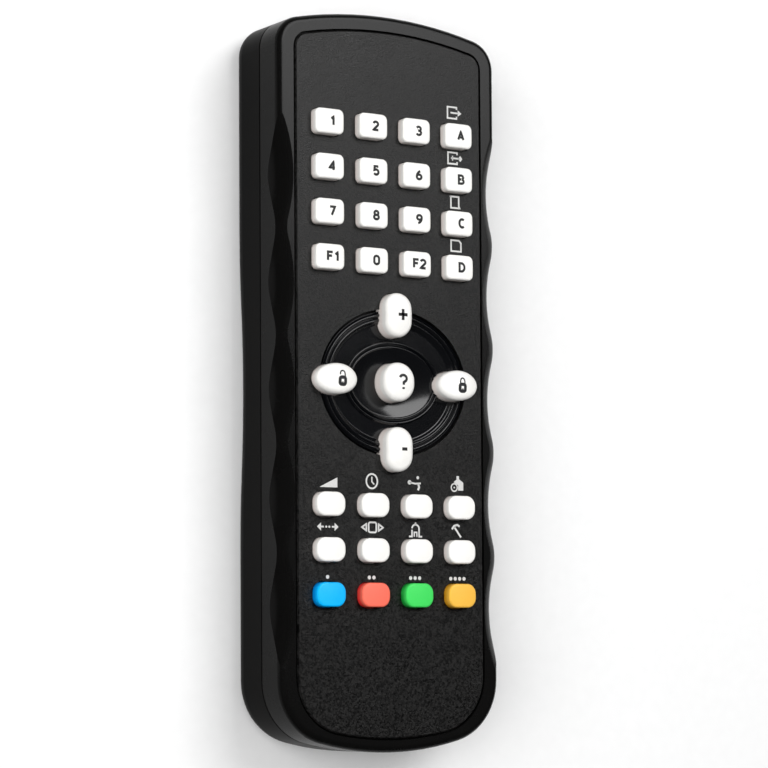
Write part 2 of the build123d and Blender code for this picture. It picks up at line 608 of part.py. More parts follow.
with BuildPart() as window_pane:
    extrude(window_block(0), amount=-LENGTH)
    add(case_block.part, mode=Mode.INTERSECT)
    with BuildSketch():
        add(case_plan(WINDOW_FLANGE_IN + WINDOW_FLANGE_THICK))
    extrude(amount=RIM_Z, mode=Mode.SUBTRACT)

with BuildPart() as window_flange:
    extrude(window_block(WINDOW_FLANGE_WIDE), amount=-LENGTH)
    add(flange_room.part, mode=Mode.INTERSECT)

with BuildPart() as ir_window:
    add(window_pane.part)
    add(window_flange.part)

save(ir_window, "ir_window")


# ================================================================ batteries and contacts
def cell(x, nub_y, to_tail):
    """A cell at x, the tip of its nub at nub_y; to_tail is -1 if its body runs to the tail, else 1."""
    body_long = CELL_LONG - NUB_LONG
    with BuildPart(mode=Mode.PRIVATE) as battery:
        with Locations((x, nub_y + to_tail * (NUB_LONG + body_long / 2), CELL_Z)):
            Cylinder(CELL_R, body_long, rotation=(90, 0, 0))
        fillet(battery.edges().filter_by(GeomType.CIRCLE), SMALL_ROUND)
        with Locations((x, nub_y + to_tail * NUB_LONG / 2, CELL_Z)):
            Cylinder(NUB_R, NUB_LONG, rotation=(90, 0, 0))
    return battery.part


STAND_OFF = CONTACT_THICK + DIMPLE_LONG + 2 * FIT  # from the bay's end wall to a nub
with BuildPart() as battery_left:
    add(cell(-CELL_X, BAY_HEAD_Y - STAND_OFF, -1))
save(battery_left, "battery_left")

with BuildPart() as battery_right:
    add(cell(CELL_X, BAY_TAIL_Y + STAND_OFF, 1))
save(battery_right, "battery_right")


def contact_plate(low_x, high_x, wall_y, inward):
    """A flat strip standing just off an end wall of the bay; inward is the way it faces (+1 or -1)."""
    near, far = sorted((wall_y + inward * FIT, wall_y + inward * (FIT + CONTACT_THICK)))
    box_between((low_x, near, CONTACT_LOW_Z), (high_x, far, CONTACT_TOP_Z))


def contact_dimple(x, wall_y, inward):
    """The raised button that a cell's nub presses on."""
    with Locations((x, wall_y + inward * (FIT + CONTACT_THICK + DIMPLE_LONG / 2), CELL_Z)):
        Cylinder(DIMPLE_R, DIMPLE_LONG, rotation=(90, 0, 0))


def contact_leg(x):
    """The strip that goes up through the bay's ceiling to the circuit board."""
    leg_y = BAY_HEAD_Y - FIT
    low = (x - LEG_WIDE / 2, leg_y - CONTACT_THICK, CONTACT_TOP_Z)
    box_between(low, (x + LEG_WIDE / 2, leg_y, PCB_Z - TOUCH))


def coil(x, wall_y, inward):
    """A coil spring standing on a contact plate, as long as the room behind the cell."""
    room = BAY_HEAD_Y - BAY_TAIL_Y - STAND_OFF - CELL_LONG - FIT - CONTACT_THICK
    height = room - 2 * COIL_WIRE_R - FIT
    start = (x, wall_y + inward * (FIT + CONTACT_THICK + COIL_WIRE_R / 2), CELL_Z)
    with BuildPart(mode=Mode.PRIVATE) as spring:
        with BuildLine() as path:
            Helix(height / COIL_TURNS, height, COIL_R, center=start, direction=(0, inward, 0))
        with BuildSketch(Plane(path.line @ 0, z_dir=path.line % 0)):
            Circle(COIL_WIRE_R)
        sweep(is_frenet=True)
    return spring.part


with BuildPart() as bridge_contact:
    contact_plate(-CONTACT_OUT, CONTACT_OUT, BAY_TAIL_Y, 1)
    contact_dimple(CELL_X, BAY_TAIL_Y, 1)
    add(coil(-CELL_X, BAY_TAIL_Y, 1))
save(bridge_contact, "bridge_contact")

with BuildPart() as positive_contact:
    contact_plate(-CONTACT_OUT, -CELL_X / 4, BAY_HEAD_Y, -1)
    contact_dimple(-CELL_X, BAY_HEAD_Y, -1)
    contact_leg(-CELL_X)
save(positive_contact, "positive_contact")

with BuildPart() as negative_contact:
    contact_plate(CELL_X / 4, CONTACT_OUT, BAY_HEAD_Y, -1)
    contact_leg(CELL_X)
    add(coil(CELL_X, BAY_HEAD_Y, -1))
save(negative_contact, "negative_contact")

# ================================================================ screws
with BuildPart() as case_screws:
    with BuildSketch(Plane.XY.offset(WELL_TOP - SCREW_GAP)):
        with Locations(*BOSSES):
            Circle(HEAD_R)
    extrude(amount=-HEAD_HIGH)
    with BuildSketch(Plane.XY.offset(WELL_TOP - SCREW_GAP)):
        with Locations(*BOSSES):
            Circle(SHANK_R)
    extrude(amount=SCREW_TIP_Z - WELL_TOP)
    with BuildSketch(Plane.XY.offset(WELL_TOP - SCREW_GAP - HEAD_HIGH)):
        with Locations(*BOSSES):
            Rectangle(CROSS_LONG, CROSS_WIDE)
            Rectangle(CROSS_WIDE, CROSS_LONG)
    extrude(amount=CROSS_DEEP, mode=Mode.SUBTRACT)
save(case_screws, "case_screws")
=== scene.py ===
# %% [markdown]
# # An infrared hand controller
#
# This lesson dresses a finished CAD model: a slim black keypad that is held in one hand.
# The CAD model gives every piece its real size and place, and the pieces stay where they are.
# What is added here is how they look: grained and polished plastics, printed signs, the light
# and the camera. Lengths are written in millimetres and turned into Blender's metres by MM.

import bpy
import numpy as np
from mathutils import Matrix, Vector


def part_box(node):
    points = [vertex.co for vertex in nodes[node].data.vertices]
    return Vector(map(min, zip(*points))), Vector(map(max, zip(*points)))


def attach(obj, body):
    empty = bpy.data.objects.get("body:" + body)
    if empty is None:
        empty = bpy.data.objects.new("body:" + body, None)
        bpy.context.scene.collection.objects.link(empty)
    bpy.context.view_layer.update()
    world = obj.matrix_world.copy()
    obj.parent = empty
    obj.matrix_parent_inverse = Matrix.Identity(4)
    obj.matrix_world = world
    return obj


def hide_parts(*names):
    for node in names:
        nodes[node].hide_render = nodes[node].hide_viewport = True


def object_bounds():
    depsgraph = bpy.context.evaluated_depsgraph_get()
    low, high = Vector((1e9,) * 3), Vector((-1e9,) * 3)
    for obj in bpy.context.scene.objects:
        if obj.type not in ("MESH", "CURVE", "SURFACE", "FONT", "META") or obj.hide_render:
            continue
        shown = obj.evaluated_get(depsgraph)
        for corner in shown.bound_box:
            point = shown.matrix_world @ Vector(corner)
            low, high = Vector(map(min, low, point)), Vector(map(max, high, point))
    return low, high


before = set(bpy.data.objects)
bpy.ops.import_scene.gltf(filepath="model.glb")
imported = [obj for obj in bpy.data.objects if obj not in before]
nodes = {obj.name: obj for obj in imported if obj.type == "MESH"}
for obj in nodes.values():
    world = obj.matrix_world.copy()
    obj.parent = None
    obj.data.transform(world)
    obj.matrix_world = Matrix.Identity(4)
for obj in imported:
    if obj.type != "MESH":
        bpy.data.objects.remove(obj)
cad_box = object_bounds()
MM = 0.001
print(len(nodes), "CAD pieces, box", [[round(c, 4) for c in corner] for corner in cad_box])

# %% [markdown]
# ## The camera
#
# A long lens far away keeps the keys square and the sides nearly parallel. The controller lies on
# its back with its keys up, so the camera looks down on it from the left. The three directions of
# the camera (its right, its up, and the way back from the object) are written out as columns, which
# is exactly what an object's matrix holds, and is easier to keep right than three angles.

# %% Camera
FACE_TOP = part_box("face_plate")[1].z
EYE_X, EYE_Y, EYE_ABOVE_FACE = -339.23, -63.52, 519.9
eye = Vector((EYE_X, EYE_Y, FACE_TOP / MM + EYE_ABOVE_FACE)) * MM
camera_right = Vector((0.83923, -0.00597, 0.54375))
camera_up = Vector((-0.04952, 0.99495, 0.08735))
camera_back = camera_right.cross(camera_up).normalized()
camera_up = camera_back.cross(camera_right).normalized()
camera = bpy.data.objects.new("camera", bpy.data.cameras.new("camera"))
bpy.context.scene.collection.objects.link(camera)
turn = Matrix((camera_right.normalized(), camera_up, camera_back)).transposed()
camera.matrix_world = Matrix.Translation(eye) @ turn.to_4x4()
camera.data.sensor_width = 36.0
camera.data.lens = 131.25
bpy.context.scene.camera = camera
print("camera", round(eye.length, 3), "m from the origin")

# %% [markdown]
# ## Floor and light
#
# Product pictures use a pale sweep and big soft lights. The polished rim of the case works as a
# mirror, so one large softbox stands where the far end of the rim reflects it: that end shines
# and the near end stays dark. A second softbox only fills: its light reaches the keys and the
# floor, and the polished plastic doesn't mirror it.

# %% Floor
FLOOR_HALF, FLOOR_Z = 2.5, -0.0002


def flat_square(name, half, z):
    """A level square about the Z axis: its corners are (plus or minus half, plus or minus half, z)."""
    corners = np.array([[-1, -1, 0], [1, -1, 0], [1, 1, 0], [-1, 1, 0]], float) * half
    corners[:, 2] = z
    mesh = bpy.data.meshes.new(name)
    mesh.from_pydata(corners.tolist(), [], [[0, 1, 2, 3]])
    square = bpy.data.objects.new(name, mesh)
    bpy.context.scene.collection.objects.link(square)
    return square


floor = flat_square("floor", FLOOR_HALF, FLOOR_Z)
print("floor", 2 * FLOOR_HALF, "m square")

# %% [markdown]
# An area light gives the soft edges of a softbox: the wider it is, the softer its shadows. Each one
# is turned to face a point, which is easier to plan than three angles.


# %% Lights
def softbox(name, place, aim, size, watts, mirrored=True):
    """A rectangular light of size (wide, high) in metres at place, facing aim."""
    lamp = bpy.data.lights.new(name, "AREA")
    lamp.shape = "RECTANGLE"
    lamp.size, lamp.size_y = size
    lamp.energy = watts
    holder = bpy.data.objects.new(name, lamp)
    bpy.context.scene.collection.objects.link(holder)
    facing = Vector(aim) - Vector(place)
    holder.rotation_euler = facing.to_track_quat("-Z", "Y").to_euler()
    holder.location = place
    holder.visible_glossy = mirrored
    print(name, "light,", watts, "W")


softbox("key_light", (0.37, 0.66, 1.0), (0.37, 0.66, 0.0), (0.96, 0.85), 10.5)
softbox("side_fill", (-1.10, 0.0, 1.05), (0.0, 0.0, 0.02), (1.2, 1.2), 22.0, mirrored=False)
softbox("top_fill", (0.0, 0.1, 1.40), (0.0, 0.1, 0.0), (2.0, 2.0), 8.0, mirrored=False)
ROOM_LIGHT = 0.035
world = bpy.data.worlds.new("studio")
world.use_nodes = True
room = world.node_tree.nodes["Background"].inputs
room["Color"].default_value = (1, 1, 1, 1)
room["Strength"].default_value = ROOM_LIGHT
bpy.context.scene.world = world
bpy.context.scene.view_settings.view_transform = "Standard"

# %% [markdown]
# ## Writing materials as sums
#
# A procedural material is a net of small nodes. Written out one by one they are hard to read, so
# two small classes turn Python sums into nodes. A Value wraps the output of a node, and adding or
# multiplying Values adds a Math node. A Finish is one material: its node method makes any node
# from its type, its settings and the values or links of its sockets.


# %% Value and Finish
class Value:
    """A number, colour or vector that varies over a surface: one output socket of a finish's net."""

    def __init__(self, finish, socket):
        self.finish, self.socket = finish, socket

    def _math(self, operation, first, second):
        return self.finish.node("ShaderNodeMath", {"operation": operation}, {0: first, 1: second})

    def __add__(self, other):
        return self._math("ADD", self, other)

    def __radd__(self, other):
        return self._math("ADD", other, self)

    def __sub__(self, other):
        return self._math("SUBTRACT", self, other)

    def __rsub__(self, other):
        return self._math("SUBTRACT", other, self)

    def __mul__(self, other):
        return self._math("MULTIPLY", self, other)

    def __rmul__(self, other):
        return self._math("MULTIPLY", other, self)

    def band(self, low, high, from_value=0.0, to_value=1.0):
        """from_value below low, to_value above high, and a smooth step between."""
        inputs = {"Value": self, "From Min": low, "From Max": high}
        inputs |= {"To Min": from_value, "To Max": to_value}
        return self.finish.node("ShaderNodeMapRange", {"interpolation_type": "SMOOTHSTEP"}, inputs)


class Finish:
    """One procedural material with a Principled shader."""

    def __init__(self, name, **constants):
        self.material = bpy.data.materials.new(name)
        self.material.use_nodes = True
        self.tree = self.material.node_tree
        self.shader = self.tree.nodes["Principled BSDF"]
        for socket, value in constants.items():
            self.shader.inputs[socket.replace("_", " ")].default_value = value
        coordinates = self.tree.nodes.new("ShaderNodeTexCoord")
        self.here = Value(self, coordinates.outputs["Object"])

    def node(self, kind, settings, inputs, output=0):
        """A node of that kind: its settings first, then what goes into its sockets."""
        made = self.tree.nodes.new(kind)
        for setting, value in settings.items():
            setattr(made, setting, value)
        for socket, value in inputs.items():
            if isinstance(value, Value):
                self.tree.links.new(value.socket, made.inputs[socket])
            else:
                made.inputs[socket].default_value = value
        return Value(self, made.outputs[output])

    def set(self, socket, value):
        """Links a Value to one of the shader's sockets."""
        self.tree.links.new(value.socket, self.shader.inputs[socket])

    def placed(self, scale=(1, 1, 1), angles=(0, 0, 0)):
        """Object coordinates, scaled and turned by a Mapping node."""
        inputs = {"Vector": self.here, "Scale": scale, "Rotation": angles}
        return self.node("ShaderNodeMapping", {}, inputs)

    def noise(self, size_mm, detail=2.0, roughness=0.5, where=None):
        """Cloudy noise whose blobs are about size_mm across, from 0 to 1."""
        inputs = {"Vector": where or self.here, "Scale": 1 / (size_mm * MM)}
        inputs |= {"Detail": detail, "Roughness": roughness}
        return self.node("ShaderNodeTexNoise", {}, inputs)

    def axis(self, letter):
        """One of the Object coordinates, in millimetres."""
        metres = self.node("ShaderNodeSeparateXYZ", {}, {"Vector": self.here}, "XYZ".index(letter))
        return metres * (1 / MM)

    def mix(self, factor, first, second):
        """The first colour where factor is 0, the second where it is 1."""
        # A Mix node has sockets for numbers and vectors too: its colours are inputs 6 and 7, output 2.
        inputs = {0: factor, 6: first, 7: second}
        return self.node("ShaderNodeMix", {"data_type": "RGBA"}, inputs, 2)

    def bump(self, height, depth_mm):
        """Raises the surface by height times depth_mm, as shading only."""
        inputs = {"Height": height, "Distance": depth_mm * MM, "Strength": 1.0}
        self.set("Normal", self.node("ShaderNodeBump", {}, inputs))


WARMTH = 0.03


def warm_grey(level):
    """A dark grey of that linear brightness, with a trace more red than blue."""
    return (level * (1 + WARMTH), level, level * (1 - WARMTH), 1.0)


# %% [markdown]
# The floor is matt white board. It has a trace of tooth, far too fine to see as a pattern, so
# that it isn't a flat colour.

# %% Floor finish
board_white = Finish("floor_board", Roughness=0.9, Specular_IOR_Level=0.2)
tooth = board_white.noise(3, detail=3)
board_white.set("Base Color", board_white.mix(tooth, (0.83, 0.83, 0.83, 1), (0.87, 0.87, 0.87, 1)))
board_white.bump(tooth, 0.01)
floor.data.materials.append(board_white.material)

# %% [markdown]
# ## The moulded black case
#
# Handset cases are black ABS, moulded in a tool that is polished but not mirror bright. The
# reflections are soft, the surface has a very fine orange peel, and faint hairlines and hand wear
# change the gloss from place to place. Gloss is what the eye reads here, so the noise goes to the
# roughness and to a shallow bump, and the colour hardly moves. The rounded rim is the part that
# hands rub bright, so it has a thin clear coat that starts at RIM_FOOT.

# %% Case plastic
CASE_BLACK = 0.0028
WEAR = 0.10
RIM_FOOT, RIM_TOP = 20.1, 20.65


def case_plastic(name, gloss, shine, rim_shine=0.0):
    """Black moulded plastic: gloss is its mean roughness, shine its mirror level."""
    finish = Finish(name, Specular_IOR_Level=shine, Coat_Roughness=0.24)
    peel = finish.noise(0.9, detail=3)
    smears = finish.noise(14, detail=4, roughness=0.6)
    hair = finish.noise(1.0, detail=2, where=finish.placed(scale=(1.0, 0.06, 1.0), angles=(0, 0, 0.4)))
    scuffs = hair.band(0.62, 0.72) * smears.band(0.5, 0.7)
    dark, pale = warm_grey(CASE_BLACK * 0.85), warm_grey(CASE_BLACK * 1.15)
    finish.set("Base Color", finish.mix(smears, dark, pale))
    finish.set("Roughness", smears * WEAR + scuffs * 0.12 + (gloss - WEAR / 2))
    finish.set("Coat Weight", finish.axis("Z").band(RIM_FOOT, RIM_TOP) * rim_shine)
    finish.bump(peel, 0.004)
    return finish


def paint(finish, *names):
    """Gives one finish to CAD pieces."""
    for name in names:
        nodes[name].data.materials.clear()
        nodes[name].data.materials.append(finish.material)
    print(finish.material.name, "on", ", ".join(names))


paint(case_plastic("case_black", gloss=0.27, shine=0.055, rim_shine=0.39), "top_shell")
paint(case_plastic("back_black", gloss=0.33, shine=0.022), "back_shell")
paint(case_plastic("door_black", gloss=0.37, shine=0.04), "battery_door")

# %% [markdown]
# ## The grained face plate
#
# The plate is spark eroded: the tool's surface is covered in tiny craters, so the moulding has a
# dry, sandy grain. Voronoi cells of about 0.4 mm, each with a chance level of its own, are the
# craters, and a finer noise roughens them. The same pattern also speckles the colour and the
# gloss a little, because the peaks of the grain catch more light than the hollows.

# %% Face plate plastic
PLATE_BLACK = 0.0036
CRATER, GRAIN_DEPTH = 0.42, 0.10


def grained_plastic(name):
    """Dark plastic with a sandy grain."""
    finish = Finish(name, Specular_IOR_Level=0.39)
    cells = {"Vector": finish.here, "Scale": 1 / (CRATER * MM)}
    chips = finish.node("ShaderNodeTexVoronoi", {}, cells, "Color")
    chip = finish.node("ShaderNodeSeparateColor", {}, {"Color": chips})
    blotch = finish.noise(6, detail=2)
    grain = finish.noise(0.3, detail=3) * 0.6 + chip * 0.4
    tone = grain.band(0.3, 0.75)
    hollow, peak = warm_grey(PLATE_BLACK * 0.05), warm_grey(PLATE_BLACK * 3.0)
    finish.set("Base Color", finish.mix(tone, hollow, peak))
    finish.set("Roughness", blotch * 0.05 + tone * 0.16 + 0.28)
    finish.bump(grain, GRAIN_DEPTH)
    return finish


paint(grained_plastic("plate_grain"), "face_plate")

# %% [markdown]
# ## The keys
#
# The caps are hard, smooth plastic, nearly white, with a soft shine. Fingers polish the crown of a
# key and leave its sides duller, so the roughness follows the height. The sides are also given a
# darker colour than the crown, which is painted shade. A trace of noise keeps the colour from being
# one flat value.

# %% Key plastics
KEY_SIDE_Z, KEY_CROWN_Z = 21.2, 22.4


def key_plastic(name, colour, shaded_side_colour):
    """Smooth key plastic: a darker side colour low on the cap, as painted shade, and colour over its
    crown.
    """
    finish = Finish(name, Specular_IOR_Level=0.4)
    crown = finish.axis("Z").band(KEY_SIDE_Z, KEY_CROWN_Z)
    mottle = finish.noise(1.6, detail=3)
    # painted shade: the lower walls of the cap take the darker side colour
    body = finish.mix(crown, shaded_side_colour, colour)
    shaded = tuple(0.93 * c for c in colour[:3]) + (1.0,)
    finish.set("Base Color", finish.mix(mottle.band(0.45, 0.75) * 0.35, body, shaded))
    finish.set("Roughness", mottle * 0.08 + crown * -0.12 + 0.5)
    finish.bump(finish.noise(0.35, detail=2), 0.004)
    return finish


# for each finish, the colour of the crown and then the darker colour of its side, painted shade
KEY_COLOURS = {
    "key_white": ((0.86, 0.85, 0.82, 1), (0.82, 0.75, 0.71, 1)),
    "key_blue": ((0.0, 0.44, 0.95, 1), (0.0, 0.27, 0.80, 1)),
    "key_red": ((0.92, 0.16, 0.105, 1), (0.80, 0.03, 0.03, 1)),
    "key_green": ((0.05, 0.66, 0.11, 1), (0.01, 0.33, 0.04, 1)),
    "key_yellow": ((0.86, 0.47, 0.06, 1), (0.66, 0.30, 0.015, 1)),
}
key_finishes = {slot: key_plastic(slot, *pair) for slot, pair in KEY_COLOURS.items()}
key_names = sorted(n for n in nodes if n.startswith("key_"))
for name in key_names:
    paint(key_finishes.get(name, key_finishes["key_white"]), name)
print(len(key_names), "keys painted")

# %% [markdown]
# ## The window and the pieces inside
#
# The far end has a window that looks black but lets infrared through: deep red, polished plastic.
# Under the face lie the rubber mat, the green circuit board and its parts, and in the tail two
# cells between nickel strips. Each gets its own finish, so that the controller can be opened up.

# %% Infrared window
window = Finish("window_red", Specular_IOR_Level=0.22)
haze = window.noise(5, detail=3)
window.set("Base Color", window.mix(haze, (0.022, 0.0012, 0.002, 1), (0.042, 0.002, 0.003, 1)))
window.set("Roughness", haze * 0.06 + 0.07)
paint(window, "ir_window")

# %% [markdown]
# Copper tracks show through the board's green lacquer as paler, slightly raised lines. The joints
# of a brick pattern make a fair stand-in for them. It reads a place flattened onto the board, so
# that the tracks run straight down its edges.

# %% Circuit board
TRACK_SCALE, TRACK_WIDTH = 260.0, 0.06
BLACK, WHITE = (0, 0, 0, 1), (1, 1, 1, 1)
board = Finish("board_green", Specular_IOR_Level=0.5)
tracks = board.node("ShaderNodeTexBrick", {"offset": 0.5}, {
    "Vector": board.placed(scale=(1, 1, 0)), "Scale": TRACK_SCALE, "Mortar Size": TRACK_WIDTH,
    "Color1": BLACK, "Color2": BLACK, "Mortar": WHITE,
})
copper = board.node("ShaderNodeSeparateColor", {}, {"Color": tracks})
weave = board.noise(0.8, detail=3)
solder_mask = board.mix(weave, (0.008, 0.09, 0.025, 1), (0.012, 0.14, 0.04, 1))
board.set("Base Color", board.mix(copper * 0.8, solder_mask, (0.03, 0.26, 0.07, 1)))
board.set("Roughness", weave * 0.1 + 0.3)
board.bump(copper, 0.03)
paint(board, "circuit_board")

# %% Rubber mat
mat = Finish("mat_silicone", Specular_IOR_Level=0.35)
dust = mat.noise(2.5, detail=4)
mat.set("Base Color", mat.mix(dust, (0.42, 0.42, 0.40, 1), (0.50, 0.50, 0.48, 1)))
mat.set("Roughness", dust * 0.15 + 0.62)
mat.bump(mat.noise(0.4), 0.02)
paint(mat, "keypad_mat")

# %% [markdown]
# A chip is a black moulding with tinned pins down two sides. Both are one piece here, so the finish
# changes from plastic to metal where the pins leave the moulding.

# %% Chip
PIN_ROOT, PIN_BLUR = 3.75, 0.01
moulding = Finish("chip_moulding", Specular_IOR_Level=0.4)
across = moulding.node("ShaderNodeMath", {"operation": "ABSOLUTE"}, {0: moulding.axis("X")})
is_pin = across.band(PIN_ROOT - PIN_BLUR, PIN_ROOT + PIN_BLUR)
sand = moulding.noise(0.15, detail=2)
body_colour = moulding.mix(sand, (0.008, 0.008, 0.008, 1), (0.02, 0.02, 0.02, 1))
moulding.set("Base Color", moulding.mix(is_pin, body_colour, (0.62, 0.60, 0.56, 1)))
moulding.set("Metallic", is_pin)
moulding.set("Roughness", sand * 0.1 + is_pin * -0.25 + 0.55)
moulding.bump(sand, 0.01)
paint(moulding, "controller_chip")

# %% [markdown]
# Strips, cans and screws are drawn, rolled or turned, which leaves fine lines one way. Noise that
# is stretched along that way shows in the gloss as those lines.


# %% Drawn metal
def drawn_metal(name, colour, roughness, stretch=(1.0, 0.08, 1.0)):
    """Metal with fine lines along the way it was drawn or rolled."""
    finish = Finish(name)
    lines = finish.noise(0.12, detail=3, where=finish.placed(scale=stretch))
    tarnish = finish.noise(3, detail=3)
    dull = tuple(0.8 * c for c in colour[:3]) + (1,)
    finish.set("Base Color", finish.mix(tarnish.band(0.35, 0.75), colour, dull))
    finish.shader.inputs["Metallic"].default_value = 1.0
    finish.set("Roughness", lines * 0.16 + tarnish * 0.08 + (roughness - 0.12))
    finish.bump(lines, 0.004)
    return finish


nickel = drawn_metal("contact_nickel", (0.66, 0.63, 0.57, 1), 0.30)
paint(nickel, "bridge_contact", "positive_contact", "negative_contact")
paint(drawn_metal("can_nickel", (0.74, 0.74, 0.73, 1), 0.20), "resonator")
paint(drawn_metal("screw_zinc", (0.55, 0.56, 0.58, 1), 0.34, stretch=(1, 1, 0.2)), "case_screws")

# %% [markdown]
# The capacitor has a dark blue sleeve with a pale stripe down the side of its negative lead. The two
# emitters are clear resin that darkens towards the chip at its root.

# %% Capacitor and emitters
STRIPE_EDGE, STRIPE_BLUR = -15.1, 0.1
LENS_FOOT, LENS_TIP = 70.5, 78.0
sleeve = Finish("capacitor_sleeve")
stripe = sleeve.axis("X").band(STRIPE_EDGE - STRIPE_BLUR, STRIPE_EDGE + STRIPE_BLUR, 1.0, 0.0)
sleeve.set("Base Color", sleeve.mix(stripe, (0.006, 0.008, 0.03, 1), (0.45, 0.47, 0.5, 1)))
sleeve.set("Roughness", sleeve.noise(1.2) * 0.15 + 0.24)
sleeve.bump(sleeve.noise(1.5), 0.01)
paint(sleeve, "capacitor")

resin = Finish("led_resin", Specular_IOR_Level=0.55)
depth_tone = resin.axis("Y").band(LENS_FOOT, LENS_TIP)
resin.set("Base Color", resin.mix(depth_tone, (0.12, 0.10, 0.14, 1), (0.30, 0.36, 0.50, 1)))
resin.set("Roughness", resin.noise(2) * 0.06 + 0.06)
paint(resin, "ir_leds")

# %% [markdown]
# A dry cell is a steel can in a printed film. The film covers all but the ends, and a lighter band
# marks the positive end. The pattern follows the cell's own length, which lies along Y, and the two
# cells lie opposite ways round, so one reads the length backwards.

# %% Cells
FILM_START, FILM_END, FILM_BLUR = 1.6, 44.0, 0.1
BAND_START, BAND_END, BAND_BLUR = 2.05, 12.05, 0.05


def cell_film(name, node, nub_at_head):
    """Printed film over a steel can. nub_at_head says which end the positive nub is at."""
    low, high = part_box(node)
    finish = Finish(name, Specular_IOR_Level=0.5)
    y = finish.axis("Y")
    from_nub = (high.y / MM - y) if nub_at_head else (y - low.y / MM)
    bare_nub = from_nub.band(FILM_START - FILM_BLUR, FILM_START + FILM_BLUR, 1.0, 0.0)
    bare = bare_nub + from_nub.band(FILM_END - FILM_BLUR, FILM_END + FILM_BLUR)
    past_start = from_nub.band(BAND_START - BAND_BLUR, BAND_START + BAND_BLUR)
    band = past_start - from_nub.band(BAND_END - BAND_BLUR, BAND_END + BAND_BLUR)
    print_noise = finish.noise(3, detail=3)
    film = finish.mix(band, (0.012, 0.013, 0.016, 1), (0.62, 0.30, 0.06, 1))
    finish.set("Base Color", finish.mix(bare, film, (0.68, 0.67, 0.64, 1)))
    finish.set("Metallic", bare)
    finish.set("Roughness", print_noise * 0.1 + 0.22)
    finish.bump(print_noise, 0.01)
    paint(finish, node)


cell_film("film_left", "battery_left", True)
cell_film("film_right", "battery_right", False)

# %% [markdown]
# ## The pad's polished surround
#
# The five keys of the pad stand in an oval surround. From its edge inwards it has two fine ridges,
# a sloping wall, a polished floor, and a dished middle with a hole for the round key. A lathe would
# turn such a profile about an axis. Here every point of the profile runs round an ellipse, and the
# ellipse's two half widths change along the profile, so it is one grid of rings by steps.

# %% Surround: the profile as rings
pad_low, pad_high = (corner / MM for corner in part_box("pad_bezel"))
PAD_CENTRE = (pad_low + pad_high) / 2
SEAT_Z, SEAT_GAP = pad_low.z, 0.03
FACE_Z = FACE_TOP / MM


def stretch_of_rings(first, last, heights):
    """Rings whose half widths go evenly from first to last, one for each height."""
    share = np.linspace(0, 1, len(heights))[:, None]
    halves = np.array(first) * (1 - share) + np.array(last) * share
    return np.column_stack([halves, heights])


def hump(rise, base_from, base_to, steps=9):
    """Heights of a rounded ridge: rise times sin(pi t) on a straight line from base_from to base_to."""
    t = np.linspace(0, 1, steps)
    return rise * np.sin(np.pi * t) + base_from * (1 - t) + base_to * t


def slope(top, bottom, steps=9):
    """Heights of a wall that eases in and out: top minus the drop times t squared times (3 minus 2 t)."""
    t = np.linspace(0, 1, steps)
    return top + (bottom - top) * t * t * (3 - 2 * t)


OUTER = np.array([pad_high.x - pad_low.x, pad_high.y - pad_low.y]) / 2 - 0.1
RIM, PAD_FLOOR, DISH_EDGE, DISH_LOW = FACE_Z - 0.05, FACE_Z - 0.95, FACE_Z - 0.6, SEAT_Z + 0.25
KEY_HOLE = (4.35, 4.6)
DISH_POWER = 1.8
dish = DISH_LOW + (DISH_EDGE - DISH_LOW) * np.linspace(1, 0, 22) ** DISH_POWER
rings = np.vstack([
    # the outer wall, then a groove, a ridge, a groove and a second ridge
    stretch_of_rings(OUTER, OUTER, np.linspace(SEAT_Z + SEAT_GAP, RIM - 0.1, 4)),
    stretch_of_rings(OUTER - 0.06, OUTER - 0.40, hump(-0.32, RIM - 0.06, RIM - 0.16)),
    stretch_of_rings(OUTER - 0.42, OUTER - 1.22, hump(0.30, RIM - 0.25, RIM - 0.25)),
    stretch_of_rings(OUTER - 1.24, OUTER - 1.55, hump(-0.22, RIM - 0.27, RIM - 0.30)),
    stretch_of_rings(OUTER - 1.57, OUTER - 2.35, hump(0.30, RIM - 0.32, RIM - 0.42)),
    # the slope down to the floor, and the floor
    stretch_of_rings(OUTER - 2.37, OUTER - 3.1, slope(RIM - 0.44, PAD_FLOOR)),
    stretch_of_rings(OUTER - 3.2, (12.65, 9.5), np.full(8, PAD_FLOOR)),
    # two ridges round the dish, the dish, and the wall of the hole
    stretch_of_rings((12.6, 9.45), (11.65, 8.5), hump(0.52, PAD_FLOOR, PAD_FLOOR + 0.12)),
    stretch_of_rings((11.6, 8.45), (10.85, 7.7), hump(0.32, PAD_FLOOR + 0.08, DISH_EDGE)),
    stretch_of_rings((10.8, 7.65), KEY_HOLE, dish),
    stretch_of_rings(KEY_HOLE, KEY_HOLE, np.linspace(DISH_LOW, SEAT_Z + SEAT_GAP, 3)[1:]),
])
print("surround profile:", len(rings), "rings")

# %% [markdown]
# A grid of points becomes a mesh when its neighbours are joined by quads. A grid that wraps both
# ways closes on itself, so the surround has no open edge. Faces are shaded smooth, and an edge stays
# crisp where the faces on its two sides turn by more than SHARP_TURN.

# %% Grids and meshes
SHARP_TURN = np.radians(38)


def object_from(name, points, faces):
    """A mesh object from points in millimetres and lists of corners, smooth but for sharp edges."""
    mesh = bpy.data.meshes.new(name)
    mesh.from_pydata((np.asarray(points, float) * MM).tolist(), [], faces)
    mesh.polygons.foreach_set("use_smooth", np.ones(len(mesh.polygons), bool))
    mesh.set_sharp_from_angle(angle=SHARP_TURN)
    mesh.update()
    made = bpy.data.objects.new(name, mesh)
    bpy.context.scene.collection.objects.link(made)
    return made


